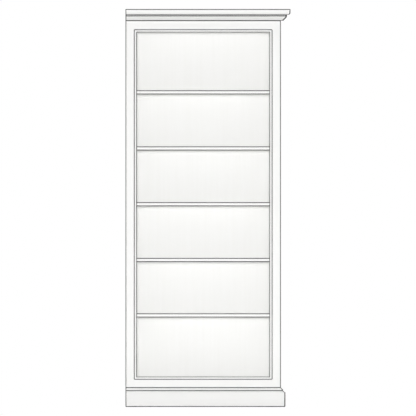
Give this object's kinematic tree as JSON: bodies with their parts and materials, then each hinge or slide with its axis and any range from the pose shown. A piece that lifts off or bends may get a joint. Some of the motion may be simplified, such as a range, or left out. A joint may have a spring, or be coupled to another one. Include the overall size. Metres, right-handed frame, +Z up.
{
  "type": "hidden door bookcase",
  "caption": "Tall painted bookcase with crown and base moulding that is hinged on a door frame and swings open as its door, on hidden casters.",
  "frame": {"origin": "on the floor, at the middle of the object's bounding box", "axes": "+Z up, +Y through the doorway into the wall, +X to the right seen from the room; the hinges are on the -X side"},
  "size_m": [0.8846, 0.4996, 2.1335],
  "materials": {
    "white_enamel": "satin white enamel on wood",
    "steel": "satin steel",
    "dark_plastic": "matt",
    "wheel_rubber": "matt grey rubber"
  },
  "bodies": {
    "door_frame": {"mount_stile_hinge": "white_enamel", "mount_stile_latch": "white_enamel", "mount_head_rail": "white_enamel", "jamb_lining_hinge": "white_enamel", "jamb_lining_latch": "white_enamel", "jamb_lining_head": "white_enamel", "hinge_bottom_frame_leaf": "steel", "hinge_bottom_pin": "steel", "hinge_middle_frame_leaf": "steel", "hinge_middle_pin": "steel", "hinge_top_frame_leaf": "steel", "hinge_top_pin": "steel", "catch_magnet_lower": "dark_plastic", "catch_magnet_upper": "dark_plastic"},
    "bookcase": {"side_panel_left": "white_enamel", "side_panel_right": "white_enamel", "top_panel": "white_enamel", "bottom_deck": "white_enamel", "centre_shelf": "white_enamel", "back_panel": "white_enamel", "hanging_stile_left": "white_enamel", "hanging_stile_right": "white_enamel", "hanging_rail_top": "white_enamel", "hanging_rail_bottom": "white_enamel", "face_stile_left": "white_enamel", "face_stile_right": "white_enamel", "face_rail_top": "white_enamel", "face_rail_bottom": "white_enamel", "bead_left": "white_enamel", "bead_top": "white_enamel", "bead_right": "white_enamel", "bead_bottom": "white_enamel", "crown_front": "white_enamel", "crown_return": "white_enamel", "base_board_front": "white_enamel", "base_board_return": "white_enamel", "base_cap_front": "white_enamel", "base_cap_return": "white_enamel", "caster_bearer_left": "white_enamel", "caster_bearer_right": "white_enamel", "hinge_bottom_case_leaf": "steel", "hinge_middle_case_leaf": "steel", "hinge_top_case_leaf": "steel", "catch_strike_lower": "steel", "catch_strike_upper": "steel", "caster_front_left_fork": "steel", "caster_front_left_axle": "steel", "caster_front_right_fork": "steel", "caster_front_right_axle": "steel", "caster_back_right_fork": "steel", "caster_back_right_axle": "steel"},
    "shelf_lowest": {"shelf_lowest": "white_enamel"},
    "shelf_lower": {"shelf_lower": "white_enamel"},
    "shelf_upper": {"shelf_upper": "white_enamel"},
    "shelf_highest": {"shelf_highest": "white_enamel"},
    "front_left_wheel": {"caster_front_left_wheel": "wheel_rubber"},
    "front_right_wheel": {"caster_front_right_wheel": "wheel_rubber"},
    "back_right_wheel": {"caster_back_right_wheel": "wheel_rubber"}
  },
  "joints": [
    {"name": "door_swing", "type": "hinge", "parent": "door_frame", "child": "bookcase", "pos_m": [-0.43325, 0.09775, 1.016], "axis": [0, 0, -1], "range_deg": [0, 90]},
    {"name": "shelf_lowest_lift", "type": "slide", "parent": "bookcase", "child": "shelf_lowest", "axis": [0, 0, 1], "range_m": [0, 0.03]},
    {"name": "shelf_lower_lift", "type": "slide", "parent": "bookcase", "child": "shelf_lower", "axis": [0, 0, 1], "range_m": [0, 0.03]},
    {"name": "shelf_upper_lift", "type": "slide", "parent": "bookcase", "child": "shelf_upper", "axis": [0, 0, 1], "range_m": [0, 0.03]},
    {"name": "shelf_highest_lift", "type": "slide", "parent": "bookcase", "child": "shelf_highest", "axis": [0, 0, 1], "range_m": [0, 0.03]},
    {"name": "front_left_wheel_spin", "type": "hinge", "parent": "bookcase", "child": "front_left_wheel", "pos_m": [-0.36825, -0.12425, 0.0375], "axis": [0.281, -0.9597, 0], "continuous": true},
    {"name": "front_right_wheel_spin", "type": "hinge", "parent": "bookcase", "child": "front_right_wheel", "pos_m": [0.31675, -0.12425, 0.0375], "axis": [0.9589, -0.2838, 0], "continuous": true},
    {"name": "back_right_wheel_spin", "type": "hinge", "parent": "bookcase", "child": "back_right_wheel", "pos_m": [0.31675, 0.02975, 0.0375], "axis": [0.9959, -0.0903, 0], "continuous": true}
  ]
}
